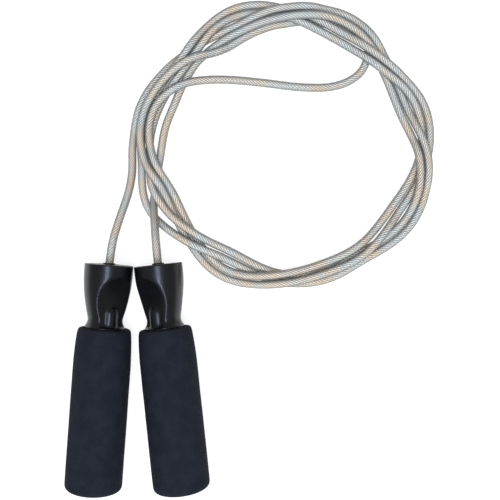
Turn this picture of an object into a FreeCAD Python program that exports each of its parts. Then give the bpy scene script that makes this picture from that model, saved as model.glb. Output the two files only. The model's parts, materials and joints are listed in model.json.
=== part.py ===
import FreeCAD, Part
import math
import os

# Jump rope lying on a flat surface, in millimetres.
# X runs across the two handles, Y along them towards the cable, Z up from the surface.
# The origin is under the middle of the two handles.

# ---- driving dimensions -------------------------------------------------------------------

# foam grip, closed and rounded at its free end
foam_od = 34.0
foam_length = 98.0
foam_end_wall = 4.0
foam_end_round = 5.0
foam_mouth_od = 31.4          # the sleeve is squeezed thinner at the mouth
foam_mouth_taper = 25.0       # from the mouth to where it is full size
foam_mouth_round = 1.5

# grip tube and its plug, inside the foam
tube_od = 22.0
tube_wall = 1.8
plug_flange = 1.5
plug_stem = 8.0
plug_wall = 1.6

# moulded head: a round cup that narrows to a neck, with a scoop cut from each flat side
head_length = 38.0
rim_od = 28.8
rim_band = 6.0                # straight band under the rim
rim_round = 0.6
belly_od = 26.4               # halfway between the band and the neck
neck_step = 0.8               # how far the neck is inside the tube's outside
neck_height = 5.5             # from the foam to the narrowest point
throat_step = 0.4             # the same halfway from the neck down to the foot
foot_overhang = 0.8           # how far the foot stands out past the tube
foot_flange = 1.0
spigot_length = 18.0
scoop_start = 6.5             # from the rim to the top edge of a scoop
scoop_landing = 11.0          # from the foam to where the scoop's floor runs straight
scoop_floor = 7.0             # from the axis to that floor
scoop_foot_round = 2.5
scoop_edge_round = 0.8
rib_radius = 4.7              # half-round rib that stands in each scoop
rib_offset = 4.8
rib_height = 14.0             # from the foam to the rib's domed end
scoop_turn = 40.0             # degrees that the scoop faces away from straight up

# ball bearing in the head
bearing_bore = 8.0
bearing_od = 19.0
bearing_width = 6.0
ball_diameter = 3.2
ball_count = 8
race_clearance = 0.05         # ball to raceway
cage_thickness = 1.3
cage_gap = 0.5                # cage to the shoulders of both races
cage_margin = 0.5             # cage beyond the balls at each side
cage_pocket_clearance = 0.1
shield_thickness = 0.3
shield_gap = 0.4              # shield lip to inner race
shield_seat = 0.3             # how far a shield sits into the outer race

# cap that holds the bearing in the head
cap_overlap = 1.5             # how far the cap reaches past the bearing
cap_thickness = 2.0
cap_hole_gap = 1.0            # round the flange of the bush

# cable and what is fixed on its ends
cable_od = 5.0
bush_flange_land = 1.2        # width of the flange on the inner race
bush_flange_thickness = 0.8
bush_collar_od = 7.2
bush_stand_out = 0.8          # how far the bush stands out of the rim
washer_land = 1.4             # width of the washer on the inner race
washer_thickness = 1.0
washer_bore_clearance = 0.1
ferrule_od = 8.8
ferrule_length = 11.0
ferrule_chamfer = 0.7
crimp_depth = 0.35
crimp_count = 3
ferrule_bore_clearance = 1.2
shoulder_relief = 1.5         # depth of the relief under the inner race
shoulder_width = 2.5          # what the outer race seats on

# how the two handles lie
left_lean = 4.1               # degrees, top towards +X
right_lean = 6.1              # degrees, top towards -X
rim_gap = 0.4                 # least gap between the two rims
foam_gap = 4.0                # least gap between the two foam mouths
pair_centre_x = -2.26         # midway between the two cable exits
exit_y = 67.53                # from the origin to the middle of each rim face

# twisted coil of cable: angle from +X, middle radius and width of the bundle
coil_centre = (87.2, 140.2)
coil_height = 14.0
coil_edge_round = 3.0
coil_skin = 0.3
coil_stations = [
    (168, 82.3, 22.8), (150, 79.5, 16.5), (137, 78.4, 13.5), (112, 79.8, 22.6), (86, 80.0, 13.0),
    (61, 79.8, 21.0), (37, 78.2, 13.0), (15, 81.8, 20.6), (-6, 85.4, 13.0), (-30, 84.4, 20.6),
    (-55, 81.9, 13.0), (-71, 81.8, 15.0), (-91, 81.7, 12.6), (-115, 81.4, 20.0), (-135, 80.8, 13.0),
    (-156, 83.2, 20.4), (-174, 83.8, 19.0)]

# routes of the cable where it is not coiled, after its straight run out of a head
straight_out = 9.5
left_tail_points = [(-12.2, 93.5, 12.0), (-6.2, 111.5, 4.4), (-4.0, 125.5, 2.5)]
right_tail_points = [(9.9, 91.5, 11.6), (8.7, 104.0, 4.2), (9.2, 115.5, 2.5)]
cross_strand_points = [
    (17.5, 172.9, 8.0), (29.5, 179.4, 7.0), (48.5, 181.2, 3.6), (74.0, 178.9, 2.5), (99.0, 174.6, 2.5),
    (121.0, 174.4, 2.5), (137.0, 183.0, 2.5), (145.2, 199.6, 2.5)]

# ---- derived sizes ------------------------------------------------------------------------

neck_od = tube_od - 2 * neck_step
throat_od = tube_od - 2 * throat_step
foot_od = tube_od + 2 * foot_overhang
neck_depth = head_length - neck_height       # these three run from the rim
scoop_land = head_length - scoop_landing
rib_top = head_length - rib_height
cage_width = ball_diameter + 2 * cage_margin
cap_od = bearing_od + 2 * cap_overlap
bush_flange_od = bearing_bore + 2 * bush_flange_land
cap_hole = bush_flange_od + 2 * cap_hole_gap
washer_od = bearing_bore + 2 * washer_land
cable_r = cable_od / 2
rim_r = rim_od / 2
foam_r = foam_od / 2
tube_r = tube_od / 2
tube_bore_r = tube_r - tube_wall
axis_height = foam_r
cap_y = -cap_thickness                       # inner face of the cap, outer face of the bearing
bearing_y = cap_y - bearing_width            # inner face of the bearing
bearing_mid_y = (cap_y + bearing_y) / 2
pitch_r = (bearing_bore + bearing_od) / 4
groove_r = ball_diameter / 2 + race_clearance
inner_shoulder_r = pitch_r - cage_thickness / 2 - cage_gap
outer_shoulder_r = pitch_r + cage_thickness / 2 + cage_gap
ferrule_top_y = bearing_y - washer_thickness
ferrule_end_y = ferrule_top_y - ferrule_length
head_bore_r = ferrule_od / 2 + ferrule_bore_clearance
foot_y = -head_length                        # where head, tube and foam meet
foot_top_y = foot_y + foot_flange
foam_end_y = foot_y - foam_length
tube_end_y = foam_end_y + foam_end_wall + plug_flange

overcut = 1.0                                # how far a cutter runs past the face that it opens
arc_share = 0.45                             # of the shorter of two runs, taken up by the arc between

UP = FreeCAD.Vector(0, 0, 1)
ALONG = FreeCAD.Vector(0, 1, 0)
CENTRE = FreeCAD.Vector(0, 0, 0)


# ---- small helpers ------------------------------------------------------------------------

def point(r, y):
    return FreeCAD.Vector(r, y, 0)


def line(start, end):
    return Part.LineSegment(point(*start), point(*end)).toShape()


def arc(start, middle, end):
    return Part.Arc(point(*start), point(*middle), point(*end)).toShape()


def round_corner(corner, from_dir, to_dir, radius):
    """Start, middle and end of the arc that rounds a right-angled corner."""
    start = (corner[0] - from_dir[0] * radius, corner[1] - from_dir[1] * radius)
    end = (corner[0] + to_dir[0] * radius, corner[1] + to_dir[1] * radius)
    inset = radius * (1 - math.sqrt(0.5))
    middle = (corner[0] + (to_dir[0] - from_dir[0]) * inset,
              corner[1] + (to_dir[1] - from_dir[1]) * inset)
    return start, middle, end


def landing_arc(start, end):
    """Arc from start that reaches end running along Y."""
    rise = start[0] - end[0]
    drop = start[1] - end[1]
    radius = (drop * drop + rise * rise) / (2 * abs(rise))
    half_turn = math.asin(abs(drop) / radius) / 2
    away = math.copysign(radius, rise)
    middle = (end[0] + away * (1 - math.cos(half_turn)),
              end[1] + math.copysign(radius, drop) * math.sin(half_turn))
    return arc(start, middle, end)


def turned(edges):
    """A solid of revolution about the Y axis."""
    face = Part.Face(Part.Wire(edges))
    return face.revolve(CENTRE, ALONG, 360)


def ring(inner_r, outer_r, low_y, high_y):
    corners = [(inner_r, low_y), (outer_r, low_y), (outer_r, high_y), (inner_r, high_y)]
    return turned([line(a, b) for a, b in zip(corners, corners[1:] + corners[:1])])


def rod(radius, low_y, high_y):
    return Part.makeCylinder(radius, high_y - low_y, FreeCAD.Vector(0, low_y, 0), ALONG)


# ---- handle pieces, axis along +Y, rim face at y = 0 --------------------------------------

def make_foam_grip():
    end_corner = round_corner((foam_r, foam_end_y), (1, 0), (0, 1), foam_end_round)
    lip = round_corner((foam_mouth_od / 2, foot_y), (0, 1), (-1, 0), foam_mouth_round)
    full_size = (foam_r, foot_y - foam_mouth_taper)
    outside = turned([
        line((0, foam_end_y), end_corner[0]),
        arc(*end_corner),
        line(end_corner[2], full_size),
        landing_arc(lip[0], full_size),
        arc(*lip),
        line(lip[2], (0, foot_y)),
        line((0, foot_y), (0, foam_end_y))])
    return outside.cut(rod(tube_r, foam_end_y + foam_end_wall, foot_y))


def make_grip_tube():
    return ring(tube_bore_r, tube_r, tube_end_y, foot_y)


def make_end_plug():
    flange = rod(tube_r, tube_end_y - plug_flange, tube_end_y)
    stem = ring(tube_bore_r - plug_wall, tube_bore_r, tube_end_y, tube_end_y + plug_stem)
    return flange.fuse(stem).removeSplitter()


def make_head_blank():
    rim = round_corner((rim_r, 0), (0, 1), (-1, 0), rim_round)
    spigot_end = foot_y - spigot_length
    belly = (belly_od / 2, -(rim_band + neck_depth) / 2)
    neck = (neck_od / 2, -neck_depth)
    throat = (throat_od / 2, (foot_top_y - neck_depth) / 2)
    foot_r = foot_od / 2
    return turned([
        line((0, spigot_end), (tube_bore_r, spigot_end)),
        line((tube_bore_r, spigot_end), (tube_bore_r, foot_y)),
        line((tube_bore_r, foot_y), (foot_r, foot_y)),
        line((foot_r, foot_y), (foot_r, foot_top_y)),
        arc((foot_r, foot_top_y), throat, neck),
        arc(neck, belly, (rim_r, -rim_band)),
        line((rim_r, -rim_band), rim[0]),
        arc(*rim),
        line(rim[2], (0, 0)),
        line((0, 0), (0, spigot_end))])


def make_scoop():
    """Cutter for a scoop that faces +X: an arc that lands on a straight floor, drawn out sideways."""
    far = 2 * rim_r
    toe = round_corner((scoop_floor, foot_top_y), (0, -1), (1, 0), scoop_foot_round)
    face = Part.Face(Part.Wire([
        landing_arc((rim_r, -scoop_start), (scoop_floor, -scoop_land)),
        line((scoop_floor, -scoop_land), toe[0]),
        arc(*toe),
        line(toe[2], (far, foot_top_y)),
        line((far, foot_top_y), (far, -scoop_start)),
        line((far, -scoop_start), (rim_r, -scoop_start))]))
    face.translate(UP * -far)
    return face.extrude(UP * 2 * far)


def make_rib():
    """Half-round rib with a domed end, standing in a scoop that faces +X."""
    dome_y = -rib_top - rib_radius
    post = rod(rib_radius, foot_y, dome_y)
    rib = post.fuse(Part.makeSphere(rib_radius, FreeCAD.Vector(0, dome_y, 0)))
    rib.translate(FreeCAD.Vector(rib_offset, 0, 0))
    return rib


def scoop_edges(head):
    """The long edges where the scoops break the round side of the head."""
    found = []
    for edge in head.Edges:
        middle = edge.valueAt((edge.FirstParameter + edge.LastParameter) / 2)
        on_side = -neck_depth < middle.y < -scoop_start and abs(middle.z) > rib_radius
        if on_side and edge.Length > scoop_start:
            found.append(edge)
    return found


def make_head_housing(turn):
    scoop = make_scoop()
    rib = make_rib()
    head = make_head_blank().cut(scoop).cut(scoop.rotated(CENTRE, ALONG, 180))
    head = head.makeFillet(scoop_edge_round, scoop_edges(head))
    head = head.fuse([rib, rib.rotated(CENTRE, ALONG, 180)]).removeSplitter()
    seat_r = bearing_od / 2
    head = head.cut([
        rod(cap_od / 2, cap_y, overcut),
        rod(seat_r, bearing_y, overcut),
        rod(seat_r - shoulder_width, bearing_y - shoulder_relief, overcut),
        rod(head_bore_r, foot_y - spigot_length - overcut, overcut)])
    return head.rotated(CENTRE, ALONG, turn - 90)


def make_bearing_cap():
    return ring(cap_hole / 2, cap_od / 2, cap_y, 0)


def make_raceway():
    return Part.makeTorus(pitch_r, groove_r, FreeCAD.Vector(0, bearing_mid_y, 0), ALONG)


def make_outer_race():
    race = ring(outer_shoulder_r, bearing_od / 2, bearing_y, cap_y)
    return race.cut([make_raceway()] + make_shields().Solids)


def make_inner_race():
    return ring(bearing_bore / 2, inner_shoulder_r, bearing_y, cap_y).cut(make_raceway())


def ball_centres():
    step = 2 * math.pi / ball_count
    return [FreeCAD.Vector(pitch_r * math.cos(i * step), bearing_mid_y, pitch_r * math.sin(i * step))
            for i in range(ball_count)]


def make_balls():
    return Part.makeCompound([Part.makeSphere(ball_diameter / 2, c) for c in ball_centres()])


def make_cage():
    half = cage_thickness / 2
    low_y = bearing_mid_y - cage_width / 2
    band = ring(pitch_r - half, pitch_r + half, low_y, low_y + cage_width)
    pocket_r = ball_diameter / 2 + cage_pocket_clearance
    hub = FreeCAD.Vector(0, bearing_mid_y, 0)
    return band.cut([Part.makeCylinder(pocket_r, outer_shoulder_r, hub, c - hub) for c in ball_centres()])


def make_shields():
    return Part.makeCompound([
        ring(inner_shoulder_r + shield_gap, outer_shoulder_r + shield_seat, y, y + shield_thickness)
        for y in (bearing_y, cap_y - shield_thickness)])


def make_cable_bush():
    flange_y = cap_y + bush_flange_thickness
    sleeve = ring(cable_r, bearing_bore / 2, bearing_y, cap_y)
    flange = ring(cable_r, bush_flange_od / 2, cap_y, flange_y)
    collar = ring(cable_r, bush_collar_od / 2, flange_y, bush_stand_out)
    return sleeve.fuse([flange, collar]).removeSplitter()


def make_thrust_washer():
    return ring(cable_r + washer_bore_clearance, washer_od / 2, ferrule_top_y, bearing_y)


def make_end_ferrule():
    body = rod(ferrule_od / 2, ferrule_end_y, ferrule_top_y)
    body = body.makeChamfer(ferrule_chamfer, [e for e in body.Edges if e.Closed])
    pitch = ferrule_length / (crimp_count + 1)
    for i in range(crimp_count):
        y = ferrule_end_y + pitch * (i + 1)
        body = body.cut(Part.makeTorus(ferrule_od / 2 + crimp_depth, 2 * crimp_depth,
                                       FreeCAD.Vector(0, y, 0), ALONG))
    return body


def handle_pieces(turn):
    return {
        "foam_grip": make_foam_grip(),
        "grip_tube": make_grip_tube(),
        "end_plug": make_end_plug(),
        "head_housing": make_head_housing(turn),
        "bearing_cap": make_bearing_cap(),
        "bearing_outer_race": make_outer_race(),
        "bearing_inner_race": make_inner_race(),
        "bearing_balls": make_balls(),
        "bearing_cage": make_cage(),
        "bearing_shields": make_shields(),
        "cable_bush": make_cable_bush(),
        "thrust_washer": make_thrust_washer(),
        "end_ferrule": make_end_ferrule(),
    }


# ---- where the handles lie ----------------------------------------------------------------

def exit_spacing():
    """Distance between the two cable exits: whichever of rims or foam mouths needs more room."""
    left, right = math.radians(left_lean), math.radians(right_lean)
    for_rims = rim_r * (math.cos(left) + math.cos(right)) + rim_gap
    mouths = foam_r * (math.cos(left) + math.cos(right)) + foam_gap
    spread = (head_length + foam_mouth_taper) * (math.sin(left) + math.sin(right))
    return max(for_rims, mouths - spread)


def handle_placement(side):
    lean, way = (left_lean, -1) if side == "left" else (right_lean, 1)
    place = FreeCAD.Vector(pair_centre_x + way * exit_spacing() / 2, exit_y, axis_height)
    return FreeCAD.Placement(place, FreeCAD.Rotation(UP, way * lean))


def on_axis(side, y):
    return handle_placement(side).multVec(FreeCAD.Vector(0, y, 0))


# ---- cable --------------------------------------------------------------------------------

def cable_path(points, name):
    """Straight runs joined by tangent arcs, each as large as its two runs allow."""
    edges = []
    last = points[0]
    radii = []
    for before, corner, after in zip(points, points[1:], points[2:]):
        back = (before - corner).normalize()
        ahead = (after - corner).normalize()
        shorter = min((before - corner).Length, (after - corner).Length)
        turn = math.pi - back.getAngle(ahead)
        cut = arc_share * shorter
        radius = cut / math.tan(turn / 2)
        start = corner + back * cut
        end = corner + ahead * cut
        inward = (back + ahead).normalize()
        middle = corner + inward * (radius / math.cos(turn / 2) - radius)
        edges.append(Part.LineSegment(last, start).toShape())
        edges.append(Part.Arc(start, middle, end).toShape())
        last = end
        radii.append(radius)
    edges.append(Part.LineSegment(last, points[-1]).toShape())
    print(name, "arc radii", [round(r, 1) for r in radii])
    return Part.Wire(edges)


def cable_tube(points, name):
    path = cable_path(points, name)
    start = points[0]
    profile = Part.Wire(Part.Circle(start, points[1] - start, cable_r).toShape())
    tube = path.makePipeShell([profile], True, False)
    section = math.pi * cable_r ** 2
    print(name, "length", round(path.Length, 1), "volume over section x length",
          round(tube.Volume / (section * path.Length), 4))
    return tube


def vectors(points):
    return [FreeCAD.Vector(*p) for p in points]


def tail_route(side, free_points):
    return [on_axis(side, ferrule_top_y), on_axis(side, straight_out)] + vectors(free_points)


def coil_outline(way):
    """Closed smooth line round the outside (way 1) or the inside (way -1) of the bundle."""
    points = []
    for angle, radius, width in coil_stations:
        reach = radius + way * (width / 2 + coil_skin)
        turn = math.radians(angle)
        points.append(FreeCAD.Vector(coil_centre[0] + reach * math.cos(turn),
                                     coil_centre[1] + reach * math.sin(turn), 0))
    curve = Part.BSplineCurve()
    curve.interpolate(Points=points, PeriodicFlag=True)
    return Part.Wire(curve.toShape())


def make_cable_coil():
    outer = Part.Face(coil_outline(1)).extrude(UP * coil_height)
    inner = Part.Face(coil_outline(-1)).extrude(UP * coil_height)
    coil = outer.cut(inner)
    top_edges = [e for e in coil.Edges if e.BoundBox.ZMin > coil_height / 2]
    return coil.makeFillet(coil_edge_round, top_edges)


# ---- build --------------------------------------------------------------------------------

def build():
    nodes = {}
    turns = {"left": scoop_turn, "right": -scoop_turn}
    tails = {"left": left_tail_points, "right": right_tail_points}
    for side, turn in turns.items():
        placement = handle_placement(side)
        for name, shape in handle_pieces(turn).items():
            shape.Placement = placement.multiply(shape.Placement)
            nodes[side + "_" + name] = shape
        nodes[side + "_cable_tail"] = cable_tube(tail_route(side, tails[side]), side + "_cable_tail")
    nodes["cable_cross_strand"] = cable_tube(vectors(cross_strand_points), "cable_cross_strand")
    nodes["cable_coil"] = make_cable_coil()
    return nodes


os.makedirs("parts", exist_ok=True)
for node, solid in build().items():
    solid.exportStep("parts/" + node + ".step")
    print(node, "valid", solid.isValid(), "solids", len(solid.Solids), "volume", round(solid.Volume, 1))
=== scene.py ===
import json
import math

import bmesh
import bpy
import numpy as np
from mathutils import Matrix, Vector
from mathutils.noise import noise


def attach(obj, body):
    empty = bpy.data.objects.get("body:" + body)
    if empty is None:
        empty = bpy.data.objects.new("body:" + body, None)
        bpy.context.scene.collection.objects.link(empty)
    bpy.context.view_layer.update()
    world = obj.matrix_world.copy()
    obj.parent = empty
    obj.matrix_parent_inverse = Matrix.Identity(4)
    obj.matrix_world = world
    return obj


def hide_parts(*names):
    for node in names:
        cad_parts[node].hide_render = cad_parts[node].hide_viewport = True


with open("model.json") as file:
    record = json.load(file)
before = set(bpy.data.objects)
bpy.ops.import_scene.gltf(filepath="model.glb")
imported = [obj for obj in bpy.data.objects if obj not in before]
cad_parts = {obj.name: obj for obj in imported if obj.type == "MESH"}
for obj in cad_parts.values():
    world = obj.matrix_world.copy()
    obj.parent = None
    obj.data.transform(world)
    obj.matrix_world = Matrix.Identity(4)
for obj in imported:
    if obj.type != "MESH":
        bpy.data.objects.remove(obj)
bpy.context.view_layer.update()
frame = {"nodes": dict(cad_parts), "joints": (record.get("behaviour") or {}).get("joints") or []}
mm = 0.001


def deselectAll():
    if bpy.context.mode != "OBJECT":
        bpy.ops.object.mode_set(mode="OBJECT")
    bpy.ops.object.select_all(action="DESELECT")


def makeActive(piece):
    deselectAll()
    piece.select_set(True)
    bpy.context.view_layer.objects.active = piece


def hexColour(code):
    # sRGB hex to the linear values that shaders take
    parts = [int(code[i:i + 2], 16) / 255 for i in (1, 3, 5)]
    return tuple(c / 12.92 if c <= 0.04045 else ((c + 0.055) / 1.055) ** 2.4 for c in parts) + (1.0,)


def newMaterial(name):
    material = bpy.data.materials.new(name)
    material.use_nodes = True
    material.node_tree.nodes.clear()
    return material


def addNode(material, kind, settings=None, inputs=None, links=None):
    # settings are the node's own values, inputs its unlinked sockets, links (socket: (node, output))
    node = material.node_tree.nodes.new(kind)
    for name, value in (settings or {}).items():
        setattr(node, name, value)
    for name, value in (inputs or {}).items():
        node.inputs[name].default_value = value
    for name, (source, output) in (links or {}).items():
        material.node_tree.links.new(source.outputs[output], node.inputs[name])
    return node


# camera, straight down over the middle of the layout
cameraSettings = {
    "above": (67.0, 76.1),
    "height": 475.0,
    "viewWidth": 308.6,          # across the floor
    "sensor": 36.0,
}


def makeCamera():
    data = bpy.data.cameras.new("camera")
    data.sensor_width = cameraSettings["sensor"]
    data.lens = cameraSettings["sensor"] * cameraSettings["height"] / cameraSettings["viewWidth"]
    camera = bpy.data.objects.new("camera", data)
    bpy.context.scene.collection.objects.link(camera)
    x, y = cameraSettings["above"]
    camera.location = (x * mm, y * mm, cameraSettings["height"] * mm)
    bpy.context.scene.camera = camera
    print("camera ready")


def handleJoint(side):
    for joint in frame["joints"]:
        if joint["name"] == side + "_handle_spin":
            return joint


def handleMatrix(side):
    # from the handle's own frame, rim at y = 0 and the cable leaving along +Y, to the object's
    joint = handleJoint(side)
    along = Vector(joint["axis"]).normalized()
    across = along.cross(Vector((0, 0, 1)))
    turn = Matrix((across, along, Vector((0, 0, 1)))).transposed().to_4x4()
    return Matrix.Translation(Vector(joint["pos_m"])) @ turn


def onAxis(side, y):
    return handleMatrix(side) @ Vector((0, y * mm, 0))


# cable, one length from the left head, round the ring and back to the right head
cable = {
    "diameter": 5.0,
    "ringCentre": (87.2, 140.2),
    "step": 5.0,                 # degrees between the spline's points in the ring
    "turnStart": 188.0,          # the turns are counted clockwise from here
    "turnEnd": -172.0,
    "firstJoins": 137.0,         # where the strand from the left head joins the ring's pair
    "reach": (203.0, -157.0),    # the strands that run apart lie between these
    "pitch": 5.06,               # between the two strands that run side by side
    "startInside": -9.0,         # where it meets its ferrule, along the handle's axis
    "straightOut": 9.5,
    "settleRounds": 160,
    "quietRounds": 6,            # the last rounds only press the strands apart
    "sink": 0.02,                # how far a loose strand sinks in a round
    "nearby": 4.0,               # diameters within which strands are watched for touching
    "lookAgain": 20,             # rounds between two looks for strands nearby
    "shareOut": 1 / 6,           # how much of a move the neighbours take
    "easeHeight": 1 / 8,
    "easeBend": 1 / 36,
}
# angle, middle radius of the bundle, how far apart its two pairs of strands are there
ringStations = [
    (214, 80.8, -6.5), (204, 82.6, 10.2), (188, 83.6, 0.0), (168, 82.4, 0.0), (150, 78.9, 0.0),
    (137, 78.2, 0.0), (112, 80.7, -10.2), (98, 81.0, -5.9), (86, 79.5, 0.0), (61, 79.8, 10.2),
    (37, 78.2, 0.0), (15, 82.2, -10.2), (-6, 86.3, 0.0), (-30, 84.8, 10.2), (-55, 81.8, 1.8),
    (-71, 81.8, 4.4), (-91, 81.7, 0.0), (-115, 80.9, -10.2), (-135, 80.3, 0.0), (-156, 82.4, 10.2),
    (-172, 83.6, 0.0)]
# strands that run apart from the pairs: angle, distance outwards from the bundle's middle
firstLane = [(190, 8.4), (176, 7.4), (162, 7.9), (150, 6.0), (137, 2.53)]
lastLane = [(203, 2.6), (197, -1.0), (188, -6.0), (182, -8.0), (170, -8.6), (160, -8.5),
            (150, -5.5), (137, -2.53)]
overLane = [(188, 2.53), (176, 5.0), (162, 5.6), (150, 4.0), (137, 0.0), (129, -6.0), (121, -8.9),
            (112, -8.3), (99, -6.0), (86, -2.0), (74, 0.0), (61, 0.5), (54, 3.0), (48, 4.4), (44, 2.0)]
backLane = [(188, -2.53), (176, 0.0), (165, 0.3), (158, -1.5), (153, -4.2)]
leftTail = [(-11.3, 93.5, 12.0), (-5.0, 111.5, 4.4)]
rightTail = [(9.9, 91.5, 11.6), (8.7, 104.0, 4.2)]
crossStrand = [
    (29.5, 179.4, 7.0), (48.5, 181.2, 3.6), (74.0, 178.9, 2.5), (99.0, 174.6, 2.5),
    (122.3, 173.8, 2.5), (138.4, 182.2, 2.5)]


# how the strands lie on each other, lowest first, down to each angle in turn;
# a strand that is read a whole turn further on has 360 beside it
pairA = [("a0", 0), ("b0", 0)]
pairB = [("b1", 0), ("a1", 0)]
over = [("over", 0)]
stacks = [
    (137, [("last", 0), ("first", 0), ("b1", 0), ("a1", 0), ("back", 0)] + over),
    (121, pairA + pairB + over),
    (112, over + pairA + pairB),
    (61, over + pairB + pairA),
    (15, over + pairA + pairB),
    (-30, pairB + pairA),
    (-115, pairA + pairB),
    (-156, pairB + pairA),
    (-360, [("last", 360)] + pairA + pairB)]


def through(stations, angle, column=1):
    # smooth curve through the stations' values, whose angles fall along the list
    last = len(stations) - 1
    i = 0
    while i < last - 1 and angle < stations[i + 1][0]:
        i += 1

    def slope(k):
        a, b = stations[max(k - 1, 0)], stations[min(k + 1, last)]
        return (b[column] - a[column]) / (b[0] - a[0])

    (x0, y0), (x1, y1) = [(stations[k][0], stations[k][column]) for k in (i, i + 1)]
    t = (angle - x0) / (x1 - x0)
    span = x1 - x0
    return ((2 * t - 3) * t * t + 1) * y0 + ((t - 2) * t + 1) * t * span * slope(i) \
        + (3 - 2 * t) * t * t * y1 + (t - 1) * t * t * span * slope(i + 1)


def anglesBetween(start, end):
    steps = round((start - end) / cable["step"])
    return [start - (start - end) * k / steps for k in range(steps + 1)]


def ringLanes():
    # each lane is a list of [angle, distance outwards, height], in the order clockwise round the ring
    half = cable["pitch"] / 2
    grid = anglesBetween(cable["turnStart"], cable["turnEnd"])
    lanes = {}
    for turn, way, start in ((0, 1, cable["firstJoins"]), (1, -1, cable["turnStart"])):
        for strand, side in (("a", half), ("b", -half)):
            lanes[strand + str(turn)] = [
                [angle, way * through(ringStations, angle, 2) / 2 + side, 0.0]
                for angle in grid if angle <= start + 0.1]
    for name, stations in (("first", firstLane), ("last", lastLane), ("over", overLane), ("back", backLane)):
        lanes[name] = [[angle, through(stations, angle), 0.0]
                       for angle in anglesBetween(stations[0][0], stations[-1][0])]
    return lanes


def stackOrder(angle):
    return next(order for lowest, order in stacks if angle > lowest)


def laneAt(lanes, name, angle):
    # index of the lane's point at this angle, or None where the lane isn't there
    lane = lanes[name]
    if not (lane[-1][0] - 0.1 <= angle <= lane[0][0] + 0.1):
        return None
    return min(range(len(lane)), key=lambda k: abs(lane[k][0] - angle))


def stackLanes(lanes):
    # every strand rests on the floor or on the strands below it
    radius = cable["diameter"] / 2
    for angle in anglesBetween(*cable["reach"]) + anglesBetween(cable["turnStart"], cable["turnEnd"]):
        below = []
        if angle > cable["turnStart"] + 0.1:
            angle -= 360
        for name, turn in stackOrder(angle):
            k = laneAt(lanes, name, angle + turn)
            if k is None:
                continue
            point = lanes[name][k]
            height = radius
            for distance, z in below:
                gap = abs(point[1] - distance)
                if gap < 2 * radius:
                    height = max(height, z + math.sqrt(4 * radius * radius - gap * gap))
            point[2] = max(point[2], height)
            below.append((point[1], point[2]))


def closestOnSegments(startA, endA, startB, endB):
    # share along each segment at which the two come nearest
    u, v, w = endA - startA, endB - startB, startA - startB
    uu, uv, vv = (u * u).sum(1), (u * v).sum(1), (v * v).sum(1)
    uw, vw = (u * w).sum(1), (v * w).sum(1)
    across = np.maximum(uu * vv - uv * uv, 1e-12)
    shareA = np.clip((uv * vw - vv * uw) / across, 0, 1)
    shareB = np.clip((uv * shareA + vw) / vv, 0, 1)
    shareA = np.clip((uv * shareB - uw) / uu, 0, 1)
    return shareA[:, None], shareB[:, None]


def settle(points, held):
    # presses touching strands a diameter apart and lets the rest sink, each move shared with its neighbours
    start = np.array(points)
    place = start.copy()
    diameter = cable["diameter"]
    count = len(place)
    first, second = np.triu_indices(count - 1, 4)
    for turn in range(cable["settleRounds"]):
        if turn % cable["lookAgain"] == 0:
            middle = (place[1:] + place[:-1]) / 2
            near = np.linalg.norm(middle[first] - middle[second], axis=1) < cable["nearby"] * diameter
            a, b = first[near], second[near]
        shareA, shareB = closestOnSegments(place[a], place[a + 1], place[b], place[b + 1])
        onA = place[a] + shareA * (place[a + 1] - place[a])
        onB = place[b] + shareB * (place[b + 1] - place[b])
        apart = onA - onB
        gap = np.maximum(np.linalg.norm(apart, axis=1, keepdims=True), 1e-6)
        push = np.where(gap < diameter, (diameter - gap) / gap, 0) * apart / 2
        move = np.zeros_like(place)
        weight = np.full((count, 1), 1e-6)
        touching = (gap < diameter).astype(float)
        for index, share, way in (
                (a, 1 - shareA, 1), (a + 1, shareA, 1), (b, 1 - shareB, -1), (b + 1, shareB, -1)):
            np.add.at(move, index, way * share * push)
            np.add.at(weight, index, share * touching)
        place += move / np.maximum(weight, 1)
        place[:, 2] -= cable["sink"]
        place[:, 2] = np.maximum(place[:, 2], diameter / 2)
        if turn < cable["settleRounds"] - cable["quietRounds"]:
            drift = place - start
            drift[1:-1] += (drift[2:] + drift[:-2] - 2 * drift[1:-1]) * cable["shareOut"]
            bend = place[2:] + place[:-2] - 2 * place[1:-1]
            place = start + drift
            place[1:-1, 2] += bend[:, 2] * cable["easeHeight"]
            place[2:-2] -= (bend[2:] + bend[:-2] - 2 * bend[1:-1]) * cable["easeBend"]
        place[held] = start[held]
    return [Vector(p) for p in place]


def cableRoute():
    lanes = ringLanes()
    stackLanes(lanes)
    forward = lanes["first"] + lanes["a0"][1:] + lanes["a1"][1:] + lanes["over"][1:]
    back = lanes["last"] + lanes["b0"][1:] + lanes["b1"][1:] + lanes["back"][1:]
    cx, cy = cable["ringCentre"]

    def ringPoint(point):
        reach = through(ringStations, point[0]) + point[1]
        turn = math.radians(point[0])
        return Vector((cx + reach * math.cos(turn), cy + reach * math.sin(turn), point[2]))

    def free(points):
        return [Vector(p) for p in points]

    def ends(side):
        return [onAxis(side, cable[name]) / mm for name in ("startInside", "straightOut")]

    route = ends("left") + free(leftTail) + [ringPoint(p) for p in forward]
    route += free(reversed(crossStrand)) + [ringPoint(p) for p in reversed(back)]
    route += free(reversed(rightTail)) + list(reversed(ends("right")))
    return [p * mm for p in settle(route, [0, 1, -2, -1])]


# cable mesh, steel strands laid round each other under a clear coat
cableLook = {
    "ringStep": 2.0,             # between the rings of the mesh
    "coatSides": 12,
    "strands": 7,
    "strandSides": 6,
    "strandRadius": 0.74,
    "strandOffset": 1.55,        # from the cable's middle, as wide as the clear coat makes them look
    "lay": 15.0,                 # length of one turn of a strand
}


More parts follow.
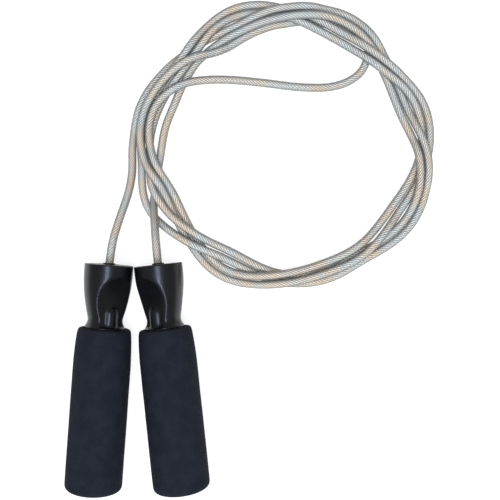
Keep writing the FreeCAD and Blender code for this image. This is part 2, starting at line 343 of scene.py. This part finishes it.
def splineOf(points, name):
    data = bpy.data.curves.new(name, "CURVE")
    data.dimensions = "3D"
    data.resolution_u = 16
    spline = data.splines.new("NURBS")
    spline.points.add(len(points) - 1)
    for target, source in zip(spline.points, points):
        target.co = (*source, 1.0)
    spline.order_u = 3
    spline.use_endpoint_u = True
    piece = bpy.data.objects.new(name, data)
    bpy.context.scene.collection.objects.link(piece)
    return piece


def pointsOf(curve):
    # the spline's own line, read at even steps along it
    bpy.context.view_layer.update()
    data = bpy.data.meshes.new_from_object(curve)
    line = [v.co.copy() for v in data.vertices]
    bpy.data.meshes.remove(data)
    gone = [0.0]
    for a, b in zip(line, line[1:]):
        gone.append(gone[-1] + (b - a).length)
    steps = round(gone[-1] / (cableLook["ringStep"] * mm))
    even, k = [], 0
    for i in range(steps + 1):
        target = gone[-1] * i / steps
        while k < len(line) - 2 and gone[k + 1] < target:
            k += 1
        even.append(line[k].lerp(line[k + 1], (target - gone[k]) / max(gone[k + 1] - gone[k], 1e-9)))
    return even, gone[-1]


def crossFrames(line):
    # two directions across the line at each point, carried along it without twist
    frames = []
    side = Vector((0, 0, 1))
    for k, point in enumerate(line):
        along = (line[min(k + 1, len(line) - 1)] - line[max(k - 1, 0)]).normalized()
        side = (side - along * side.dot(along)).normalized()
        frames.append((side, along.cross(side)))
    return frames


def addTube(mesh, uvMap, centres, frames, radius, sides, slot, step):
    # closed tube round the centres; the map runs 0 to 1 round it and in millimetres along it
    rings = []
    for centre, (side, other) in zip(centres, frames):
        turns = [2 * math.pi * k / sides for k in range(sides)]
        rings.append([mesh.verts.new(centre + radius * (side * math.cos(turn) + other * math.sin(turn)))
                      for turn in turns])
    for k, (near, far) in enumerate(zip(rings, rings[1:])):
        for i in range(sides):
            j = (i + 1) % sides
            face = mesh.faces.new((near[i], near[j], far[j], far[i]))
            face.material_index = slot
            face.smooth = True
            for loop, (u, v) in zip(face.loops, ((i, k), (i + 1, k), (i + 1, k + 1), (i, k + 1))):
                loop[uvMap].uv = (u / sides, v * step)
    for ring in (list(reversed(rings[0])), rings[-1]):
        mesh.faces.new(ring).material_index = slot


def makeCable():
    guide = splineOf(cableRoute(), "cable_guide")
    line, length = pointsOf(guide)
    bpy.data.objects.remove(guide)
    frames = crossFrames(line)
    look = cableLook
    step = length / (len(line) - 1) / mm
    mesh = bmesh.new()
    uvMap = mesh.loops.layers.uv.new("along")
    addTube(mesh, uvMap, line, frames, cable["diameter"] / 2 * mm, look["coatSides"], 0, step)
    for strand in range(look["strands"]):
        centres, turned = [], []
        for k, (point, (side, other)) in enumerate(zip(line, frames)):
            turn = 2 * math.pi * (strand / look["strands"] + k * step / look["lay"])
            out = side * math.cos(turn) + other * math.sin(turn)
            centres.append(point + out * look["strandOffset"] * mm)
            turned.append((out, other * math.cos(turn) - side * math.sin(turn)))
        addTube(mesh, uvMap, centres, turned, look["strandRadius"] * mm, look["strandSides"], 1, step)
    data = bpy.data.meshes.new("jump_rope_cable")
    bmesh.ops.recalc_face_normals(mesh, faces=mesh.faces)
    mesh.to_mesh(data)
    mesh.free()
    piece = bpy.data.objects.new("jump_rope_cable", data)
    bpy.context.scene.collection.objects.link(piece)
    data.materials.append(clearVinyl())
    data.materials.append(galvanisedStrand())
    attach(piece, "rope")
    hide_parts("cable_coil", "cable_cross_strand", "left_cable_tail", "right_cable_tail")
    tuple(onAxis("left", 0))
    print("cable", round(length, 3), "m")


# foam grips, one sleeve that is shaped and then copied to each handle
foamGrip = {
    "radius": 17.0,
    "sides": 72,
    "closedEnd": -136.3,         # along the handle's axis, rim of the head at 0
    "mouth": -38.0,
    "mouthRadius": 15.7,
    "taper": 25.0,
    "endDepth": 5.5,             # the closed end is rounded over this much
    "endPower": 2.7,             # 2 would be an ellipse, more is squarer
    "lipRound": 1.8,
    "endDegrees": (4, 12, 22, 32, 42, 52, 62, 72, 82, 90),
    "straightLoops": 20,
    "taperLoops": 8,
    "lipLoops": 4,
    "bore": 11.2,
    "boreDepth": 12.0,
    "innerSkin": 12.0,           # nearer the axis than this the sleeve stays even
    "unevenness": 0.14,          # how far the skin wanders in and out
    "dent": 21.0,                # size of the broad dents
    "ripple": 5.5,
    "rippleShare": 0.35,
    "bulgeLimit": 0.2,           # share of the unevenness that may stand out
    "seeds": {"left": 3.0, "right": 11.0},
    "fill": 0.95,
}


def foamProfile():
    # radius and place of each loop, from the middle of the closed end to the mouth and a little way inside
    g = foamGrip
    loops = []
    for degrees in g["endDegrees"]:
        turn = math.radians(degrees)
        out = math.sin(turn) ** (2 / g["endPower"])
        rise = max(math.cos(turn), 0) ** (2 / g["endPower"])
        loops.append((g["radius"] * out, g["closedEnd"] + g["endDepth"] * (1 - rise)))
    endTop = loops[-1][1]
    straight = g["mouth"] - g["taper"] - endTop
    for k in range(1, g["straightLoops"] + 1):
        loops.append((g["radius"], endTop + straight * k / g["straightLoops"]))
    for k in range(1, g["taperLoops"] + 1):
        share = k / (g["taperLoops"] + 1)
        squeeze = (g["radius"] - g["mouthRadius"]) * share * share
        loops.append((g["radius"] - squeeze, g["mouth"] - g["taper"] * (1 - share)))
    for k in range(g["lipLoops"] + 1):
        turn = math.pi / 2 * k / g["lipLoops"]
        loops.append((g["mouthRadius"] - g["lipRound"] * (1 - math.cos(turn)),
                      g["mouth"] - g["lipRound"] * (1 - math.sin(turn))))
    for depth in (0, g["boreDepth"] / 2, g["boreDepth"]):
        loops.append((g["bore"], g["mouth"] - depth))
    return loops


def makeFoamSleeve():
    loops = foamProfile()
    deselectAll()
    bpy.ops.mesh.primitive_circle_add(
        vertices=foamGrip["sides"], radius=loops[0][0] * mm, fill_type="NGON",
        location=(0, loops[0][1] * mm, 0), rotation=(math.pi / 2, 0, 0))
    sleeve = bpy.context.object
    bpy.ops.object.transform_apply(location=True, rotation=True)
    bpy.ops.object.mode_set(mode="EDIT")
    bpy.ops.mesh.select_all(action="SELECT")
    for (radius, y), (nextRadius, nextY) in zip(loops, loops[1:]):
        bpy.ops.mesh.extrude_region_move(TRANSFORM_OT_translate={"value": (0, (nextY - y) * mm, 0)})
        scale = nextRadius / radius
        bpy.ops.transform.resize(value=(scale, 1, scale), center_override=(0, nextY * mm, 0))
    bpy.ops.mesh.select_all(action="SELECT")
    bpy.ops.mesh.remove_doubles(threshold=1e-6)
    bpy.ops.mesh.normals_make_consistent(inside=False)
    bpy.ops.object.mode_set(mode="OBJECT")
    subdivided = sleeve.modifiers.new("subdivision", "SUBSURF")
    subdivided.levels = subdivided.render_levels = 1
    bpy.ops.object.modifier_apply(modifier=subdivided.name)
    bpy.ops.object.shade_smooth()
    return sleeve


def makeFoamGrips():
    g = foamGrip
    sleeve = makeFoamSleeve()
    foam = closedCellFoam()
    for side, seed in g["seeds"].items():
        grip = bpy.data.objects.new(side + "_foam_sleeve", sleeve.data.copy())
        bpy.context.scene.collection.objects.link(grip)
        for vertex in grip.data.vertices:
            out = Vector((vertex.co.x, 0, vertex.co.z))
            if out.length < g["innerSkin"] * mm:
                continue
            # soft foam is never quite round: broad dents first, then a fine ripple
            where = vertex.co / mm
            wander = noise(where / g["dent"] + Vector((seed, 0, 0)))
            wander += g["rippleShare"] * noise(where / g["ripple"] + Vector((0, seed, 0)))
            vertex.co += out.normalized() * min(wander, g["bulgeLimit"]) * g["unevenness"] * mm
        grip.data.transform(handleMatrix(side))
        grip.data.materials.clear()
        grip.data.materials.append(foam)
        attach(grip, side + "_handle")
        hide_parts(side + "_foam_grip")
    bpy.data.objects.remove(sleeve)
    print("foam grips ready")


# moulded heads, the solid's own shape with the soft edges of a moulding
headShell = {
    "voxel": 0.42,
    "rounds": 44,                # smoothing rounds over the scoops
    "crisp": 3.0,                # the rim stays crisp this far down
    "bearingDepth": 10.5,        # round the bearing only the outside is smoothed
    "outsideRadius": 12.3,
    "boreRadius": 6.1,
    "foot": -37.4,
    "rimKept": 0.6,
    "footFade": 1.5,
}


def softness(local):
    # how far a point of the head, in its handle's frame, follows the smoothing
    h = headShell
    inner = h["outsideRadius"] if local.y > -h["bearingDepth"] else h["boreRadius"]
    if math.hypot(local.x, local.z) <= inner:
        return 0
    belowRim = min(max((-local.y - h["rimKept"]) / h["crisp"], 0), 1)
    aboveFoot = min(max((local.y - h["foot"]) / h["footFade"], 0), 1)
    return belowRim * aboveFoot


def makeHeads(plastic):
    for side in ("left", "right"):
        node = frame["nodes"][side + "_head_housing"]
        shell = bpy.data.objects.new(side + "_head_shell", node.data.copy())
        bpy.context.scene.collection.objects.link(shell)
        makeActive(shell)
        bpy.ops.object.mode_set(mode="EDIT")
        bpy.ops.mesh.select_all(action="SELECT")
        bpy.ops.mesh.remove_doubles(threshold=0.001 * mm)
        bpy.ops.object.mode_set(mode="OBJECT")
        remesh = shell.modifiers.new("remesh", "REMESH")
        remesh.mode = "VOXEL"
        remesh.voxel_size = headShell["voxel"] * mm
        bpy.ops.object.modifier_apply(modifier=remesh.name)
        toHandle = handleMatrix(side).inverted()
        soft = shell.vertex_groups.new(name="soft")
        for vertex in shell.data.vertices:
            weight = softness(toHandle @ vertex.co / mm)
            if weight > 0:
                soft.add([vertex.index], weight, "REPLACE")
        smooth = shell.modifiers.new("smooth", "SMOOTH")
        smooth.factor = 0.5
        smooth.iterations = headShell["rounds"]
        smooth.vertex_group = "soft"
        bpy.ops.object.modifier_apply(modifier=smooth.name)
        bpy.ops.object.shade_smooth()
        shell.data.materials.clear()
        shell.data.materials.append(plastic)
        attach(shell, side + "_handle")
        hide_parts(side + "_head_housing")
        print(side, "head", len(shell.data.polygons), "faces")


def finishNodes(moulded):
    # the other pieces keep their solids and get their finishes
    tube, ground, pressed = extrudedTube(), groundSteel(), pressedSteel()
    finishes = {
        "bearing_cap": moulded, "cable_bush": nylonBush(), "grip_tube": tube, "end_plug": tube,
        "bearing_outer_race": ground, "bearing_inner_race": ground, "bearing_balls": ground,
        "bearing_shields": pressed, "thrust_washer": pressed, "bearing_cage": cageNylon(),
        "end_ferrule": crimpedAluminium()}
    for side in ("left", "right"):
        for node, material in finishes.items():
            for materialSlot in frame["nodes"][side + "_" + node].material_slots:
                materialSlot.material = material
    print("finishes ready")


def clearVinyl():
    # extruded clear PVC: see-through and faintly hazy, with a sharp shine along the cable
    material = newMaterial("clear_extruded_pvc")
    clear = addNode(material, "ShaderNodeBsdfTransparent", inputs={"Color": hexColour("#fbf8f2")})
    shine = addNode(material, "ShaderNodeBsdfPrincipled", inputs={
        "Base Color": hexColour("#c2c5c6"), "Roughness": 0.14, "IOR": 1.5})
    edge = addNode(material, "ShaderNodeFresnel", inputs={"IOR": 1.5})
    # 13 per cent haze where it faces the eye, more where it turns away
    haze = addNode(material, "ShaderNodeMath", {"operation": "MULTIPLY_ADD"}, {1: 0.78, 2: 0.13},
                   {0: (edge, 0)})
    both = addNode(material, "ShaderNodeMixShader", links={0: (haze, 0), 1: (clear, 0), 2: (shine, 0)})
    addNode(material, "ShaderNodeOutputMaterial", links={"Surface": (both, 0)})
    return material


def galvanisedStrand():
    # drawn, galvanised steel wire in small strands: light grey metal, with painted shade as fine darker lines
    # between the wires and darker hollows between the strands
    material = newMaterial("galvanised_wire_strand")
    uv = addNode(material, "ShaderNodeUVMap", {"uv_map": "along"})
    parts = addNode(material, "ShaderNodeSeparateXYZ", links={0: (uv, 0)})
    # painted shade: the outer side of each strand keeps its colour, and the colour darkens towards the hollows
    # between the strands, where shade falls
    aroundStrand = addNode(material, "ShaderNodeMath", {"operation": "MULTIPLY"}, {1: 2 * math.pi},
                           {0: (parts, 0)})
    facing = addNode(material, "ShaderNodeMath", {"operation": "COSINE"}, links={0: (aroundStrand, 0)})
    paintedHollowShade = addNode(material, "ShaderNodeMapRange", inputs={
        "From Min": 0.2, "From Max": 0.62, "To Min": 0.36, "To Max": 1.0}, links={"Value": (facing, 0)})
    # six wires turn once round the strand in 9 mm, coarser than real ones so that they show
    along = addNode(material, "ShaderNodeMath", {"operation": "MULTIPLY"}, {1: 1 / 9.0}, {0: (parts, 1)})
    spiral = addNode(material, "ShaderNodeMath", {"operation": "ADD"}, links={0: (parts, 0), 1: (along, 0)})
    turns = addNode(material, "ShaderNodeMath", {"operation": "MULTIPLY"}, {1: 6 * 2 * math.pi},
                    {0: (spiral, 0)})
    wire = addNode(material, "ShaderNodeMath", {"operation": "SINE"}, links={0: (turns, 0)})
    # painted shade: the colour darkens along the fine lines between the wires, where shade falls
    paintedWireShade = addNode(material, "ShaderNodeMapRange", inputs={
        "From Min": -1.0, "From Max": 0.3, "To Min": 0.72, "To Max": 1.0}, links={"Value": (wire, 0)})
    # painted shade of the hollows and of the lines between the wires, multiplied together
    shade = addNode(material, "ShaderNodeMath", {"operation": "MULTIPLY"},
                    links={0: (paintedWireShade, 0), 1: (paintedHollowShade, 0)})
    # zinc weathers in warm and cool patches of about 16 mm
    place = addNode(material, "ShaderNodeTexCoord")
    patches = addNode(material, "ShaderNodeTexNoise", inputs={"Scale": 1 / (16.0 * mm), "Detail": 3.0},
                      links={"Vector": (place, "Object")})
    cool = addNode(material, "ShaderNodeMapRange", inputs={"From Min": 0.4, "From Max": 0.6},
                   links={"Value": (patches, 0)})
    tint = addNode(material, "ShaderNodeMix", {"data_type": "RGBA"},
                   {6: hexColour("#ebdbc5"), 7: hexColour("#d9e1e4")}, {0: (cool, 0)})
    colour = addNode(material, "ShaderNodeVectorMath", {"operation": "SCALE"},
                     links={0: (tint, 2), "Scale": (shade, 0)})
    bump = addNode(material, "ShaderNodeBump", inputs={"Strength": 0.4, "Distance": 0.1 * mm},
                   links={"Height": (wire, 0)})
    smear = addNode(material, "ShaderNodeTexNoise", inputs={"Scale": 1 / (4.0 * mm), "Detail": 3.0},
                    links={"Vector": (place, "Object")})
    rough = addNode(material, "ShaderNodeMapRange", inputs={
        "From Min": 0.3, "From Max": 0.7, "To Min": 0.28, "To Max": 0.42}, links={"Value": (smear, 0)})
    metal = addNode(material, "ShaderNodeBsdfPrincipled", inputs={"Metallic": 0.12},
                    links={"Base Color": (colour, 0), "Normal": (bump, 0), "Roughness": (rough, 0)})
    addNode(material, "ShaderNodeOutputMaterial", links={"Surface": (metal, 0)})
    return material


def closedCellFoam():
    # closed-cell rubber foam, cut and skinned: dull blue-black with fine pores
    material = newMaterial("closed_cell_foam")
    place = addNode(material, "ShaderNodeTexCoord")
    clouds = addNode(material, "ShaderNodeTexNoise", inputs={"Scale": 1 / (7.0 * mm), "Detail": 6.0},
                     links={"Vector": (place, "Object")})
    light = addNode(material, "ShaderNodeMapRange", inputs={"From Min": 0.4, "From Max": 0.6},
                    links={"Value": (clouds, 0)})
    colour = addNode(material, "ShaderNodeMix", {"data_type": "RGBA"},
                     {6: hexColour("#171a21"), 7: hexColour("#1b1e25")}, {0: (light, 0)})
    # cells of about 0.7 mm
    cells = addNode(material, "ShaderNodeTexVoronoi", inputs={"Scale": 1 / (0.7 * mm)},
                    links={"Vector": (place, "Object")})
    grain = addNode(material, "ShaderNodeTexNoise", inputs={"Scale": 1 / (1.6 * mm), "Detail": 5.0},
                    links={"Vector": (place, "Object")})
    pores = addNode(material, "ShaderNodeMath", {"operation": "MULTIPLY"},
                    links={0: (cells, 0), 1: (grain, 0)})
    bump = addNode(material, "ShaderNodeBump", inputs={"Strength": 0.6, "Distance": 0.3 * mm},
                   links={"Height": (pores, 0)})
    rough = addNode(material, "ShaderNodeMapRange", inputs={
        "From Min": 0.3, "From Max": 0.7, "To Min": 0.78, "To Max": 0.95}, links={"Value": (grain, 0)})
    skin = addNode(material, "ShaderNodeBsdfPrincipled", inputs={"Specular IOR Level": 0.1},
                   links={"Base Color": (colour, 2), "Normal": (bump, 0), "Roughness": (rough, 0)})
    addNode(material, "ShaderNodeOutputMaterial", links={"Surface": (skin, 0)})
    return material


def mouldedHead():
    # injection-moulded ABS from a polished mould: black, shiny, faintly wavy where it shrank
    material = newMaterial("moulded_abs")
    place = addNode(material, "ShaderNodeTexCoord")
    patches = addNode(material, "ShaderNodeTexNoise", inputs={"Scale": 1 / (9.0 * mm), "Detail": 3.0},
                      links={"Vector": (place, "Object")})
    light = addNode(material, "ShaderNodeMapRange", inputs={"From Min": 0.4, "From Max": 0.6},
                    links={"Value": (patches, 0)})
    colour = addNode(material, "ShaderNodeMix", {"data_type": "RGBA"},
                     {6: hexColour("#050608"), 7: hexColour("#090a0d")}, {0: (light, 0)})
    wave = addNode(material, "ShaderNodeTexNoise", inputs={"Scale": 1 / (6.0 * mm), "Detail": 2.0},
                   links={"Vector": (place, "Object")})
    fine = addNode(material, "ShaderNodeTexNoise", inputs={"Scale": 1 / (0.5 * mm), "Detail": 4.0},
                   links={"Vector": (place, "Object")})
    broad = addNode(material, "ShaderNodeBump", inputs={"Strength": 0.25, "Distance": 0.2 * mm},
                    links={"Height": (wave, 0)})
    close = addNode(material, "ShaderNodeBump", inputs={"Strength": 0.12, "Distance": 0.05 * mm},
                    links={"Height": (fine, 0), "Normal": (broad, 0)})
    rough = addNode(material, "ShaderNodeMapRange", inputs={
        "From Min": 0.3, "From Max": 0.7, "To Min": 0.27, "To Max": 0.35}, links={"Value": (fine, 0)})
    plastic = addNode(material, "ShaderNodeBsdfPrincipled", inputs={"IOR": 1.5},
                      links={"Base Color": (colour, 2), "Normal": (close, 0), "Roughness": (rough, 0)})
    addNode(material, "ShaderNodeOutputMaterial", links={"Surface": (plastic, 0)})
    return material


def plainPlastic(name, dark, light, smoothest, roughest):
    material = newMaterial(name)
    place = addNode(material, "ShaderNodeTexCoord")
    patches = addNode(material, "ShaderNodeTexNoise", inputs={"Scale": 1 / (3.0 * mm), "Detail": 3.0},
                      links={"Vector": (place, "Object")})
    lightness = addNode(material, "ShaderNodeMapRange", inputs={"From Min": 0.4, "From Max": 0.6},
                        links={"Value": (patches, 0)})
    colour = addNode(material, "ShaderNodeMix", {"data_type": "RGBA"},
                     {6: hexColour(dark), 7: hexColour(light)}, {0: (lightness, 0)})
    grain = addNode(material, "ShaderNodeTexNoise", inputs={"Scale": 1 / (0.6 * mm), "Detail": 4.0},
                    links={"Vector": (place, "Object")})
    bump = addNode(material, "ShaderNodeBump", inputs={"Strength": 0.2, "Distance": 0.1 * mm},
                   links={"Height": (grain, 0)})
    rough = addNode(material, "ShaderNodeMapRange", inputs={
        "From Min": 0.3, "From Max": 0.7, "To Min": smoothest, "To Max": roughest}, links={"Value": (grain, 0)})
    plastic = addNode(material, "ShaderNodeBsdfPrincipled", inputs={"IOR": 1.5},
                      links={"Base Color": (colour, 2), "Normal": (bump, 0), "Roughness": (rough, 0)})
    addNode(material, "ShaderNodeOutputMaterial", links={"Surface": (plastic, 0)})
    return material


def nylonBush():
    # turned nylon: black and a little duller than the head
    return plainPlastic("turned_nylon", "#101114", "#17181b", 0.38, 0.5)


def extrudedTube():
    # extruded polypropylene tube, dark grey and waxy
    return plainPlastic("extruded_polypropylene", "#35373a", "#3f4144", 0.45, 0.6)


def cageNylon():
    # natural nylon, cream and slightly waxy
    return plainPlastic("natural_nylon", "#d6c9a8", "#e3d8bb", 0.4, 0.55)


def plainMetal(name, dark, light, smoothest, roughest, squeeze):
    # squeeze closes the grain up along Y, which is nearly along the handles: under 1 draws it out
    material = newMaterial(name)
    place = addNode(material, "ShaderNodeTexCoord")
    drawn = addNode(material, "ShaderNodeMapping", inputs={"Scale": (1, squeeze, 1)},
                    links={"Vector": (place, "Object")})
    grain = addNode(material, "ShaderNodeTexNoise", inputs={"Scale": 1 / (0.8 * mm), "Detail": 4.0},
                    links={"Vector": (drawn, 0)})
    lightness = addNode(material, "ShaderNodeMapRange", inputs={"From Min": 0.4, "From Max": 0.6},
                        links={"Value": (grain, 0)})
    colour = addNode(material, "ShaderNodeMix", {"data_type": "RGBA"},
                     {6: hexColour(dark), 7: hexColour(light)}, {0: (lightness, 0)})
    bump = addNode(material, "ShaderNodeBump", inputs={"Strength": 0.15, "Distance": 0.05 * mm},
                   links={"Height": (grain, 0)})
    rough = addNode(material, "ShaderNodeMapRange", inputs={
        "From Min": 0.3, "From Max": 0.7, "To Min": smoothest, "To Max": roughest}, links={"Value": (grain, 0)})
    metal = addNode(material, "ShaderNodeBsdfPrincipled", inputs={"Metallic": 1.0},
                    links={"Base Color": (colour, 2), "Normal": (bump, 0), "Roughness": (rough, 0)})
    addNode(material, "ShaderNodeOutputMaterial", links={"Surface": (metal, 0)})
    return material


def groundSteel():
    # hardened bearing steel, ground and polished: bright, with fine marks round the races
    return plainMetal("ground_bearing_steel", "#b9bbbd", "#c9cbcd", 0.12, 0.22, 6.0)


def pressedSteel():
    # cold-rolled strip, pressed: grey and satin
    return plainMetal("pressed_steel", "#a2a4a6", "#b6b8ba", 0.28, 0.4, 1.0)


def crimpedAluminium():
    # soft aluminium sleeve with the dull marks of the crimping tool
    return plainMetal("crimped_aluminium", "#c4c6c8", "#d8dadc", 0.3, 0.48, 0.3)


# floor and light
stage = {
    "floorSize": 20.0,           # metres
    "floorDrop": 0.2,            # the floor lies this far under the ring
    "middle": (60.0, 80.0),
    "worldStrength": 0.3,
    "glow": 0.8,
}
lamps = {
    # place, width and length in metres, watts, colour, and whether it shows in the gloss
    "top_softbox": ((0.06, -0.2, 1.3), 0.25, 0.9, 9.0, "#cfe2ff", True),
    "wide_softbox": ((0.06, -0.35, 1.5), 1.6, 1.2, 36.0, "#ffffff", False),
}


def makeFloor(x, y):
    deselectAll()
    bpy.ops.mesh.primitive_plane_add(size=stage["floorSize"], location=(x, y, -stage["floorDrop"] * mm))
    floor = bpy.context.object
    floor.name = "white_table"
    bpy.ops.object.transform_apply(location=True)
    # opal light table: its own glow keeps the ground white where shadows fall
    material = newMaterial("opal_light_table")
    opal = addNode(material, "ShaderNodeBsdfPrincipled", inputs={
        "Base Color": hexColour("#8f8f8f"), "Roughness": 0.7,
        "Emission Color": hexColour("#ffffff"), "Emission Strength": stage["glow"]})
    addNode(material, "ShaderNodeOutputMaterial", links={"Surface": (opal, 0)})
    floor.data.materials.append(material)


def makeStage():
    x, y = (value * mm for value in stage["middle"])
    makeFloor(x, y)
    world = bpy.data.worlds.new("studio")
    bpy.context.scene.world = world
    world.use_nodes = True
    sky = world.node_tree.nodes["Background"]
    sky.inputs["Color"].default_value = hexColour("#ffffff")
    sky.inputs["Strength"].default_value = stage["worldStrength"]
    for name, (place, width, length, power, colour, inGloss) in lamps.items():
        data = bpy.data.lights.new(name, "AREA")
        data.shape = "RECTANGLE"
        data.size, data.size_y = width, length
        data.energy = power
        data.color = hexColour(colour)[:3]
        lamp = bpy.data.objects.new(name, data)
        bpy.context.scene.collection.objects.link(lamp)
        lamp.visible_glossy = inGloss
        lamp.location = place
        aim = Vector((x, y, 0)) - Vector(place)
        lamp.rotation_euler = aim.to_track_quat("-Z", "Y").to_euler()
    bpy.context.scene.view_settings.view_transform = "Standard"
    print("stage ready")


makeCamera()
makeCable()
makeFoamGrips()
moulded = mouldedHead()          # the heads and the caps in them share it
makeHeads(moulded)
finishNodes(moulded)
makeStage()
